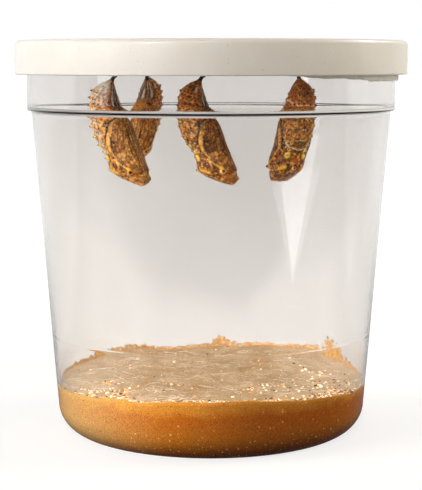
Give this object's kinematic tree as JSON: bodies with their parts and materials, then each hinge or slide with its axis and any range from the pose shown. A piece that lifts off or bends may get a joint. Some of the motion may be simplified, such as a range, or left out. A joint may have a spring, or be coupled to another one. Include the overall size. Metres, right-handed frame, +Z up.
{
  "type": "butterfly chrysalis rearing cup",
  "caption": "Clear tapered lidded cup with warty brown butterfly chrysalises hanging head down from the paper under its lid, above a bed of brown food.",
  "frame": {"origin": "middle of the flat foot of the cup", "axes": "+Z up from the foot to the lid, -Y towards the viewer of the front, +X to the right of the front"},
  "size_m": [0.084, 0.084, 0.0845],
  "materials": {
    "clear_plastic": "clear glossy moulded plastic, faintly grey",
    "lid_plastic": "cream-white plastic with a soft sheen",
    "liner_paper": "thin off-white tissue paper, matt",
    "larval_food": "pasty caramel-brown food with pale specks, damp sheen",
    "chrysalis_shell": "mottled brown shell with gold spots, satin",
    "silk": "matted off-white silk"
  },
  "bodies": {
    "root": {"cup": "clear_plastic", "lid": "lid_plastic", "paper_liner": "liner_paper", "food": "larval_food", "chrysalis_1": "chrysalis_shell", "chrysalis_2": "chrysalis_shell", "chrysalis_3": "chrysalis_shell", "chrysalis_4": "chrysalis_shell", "silk_button_1": "silk", "silk_button_2": "silk", "silk_button_3": "silk", "silk_button_4": "silk"}
  },
  "joints": []
}
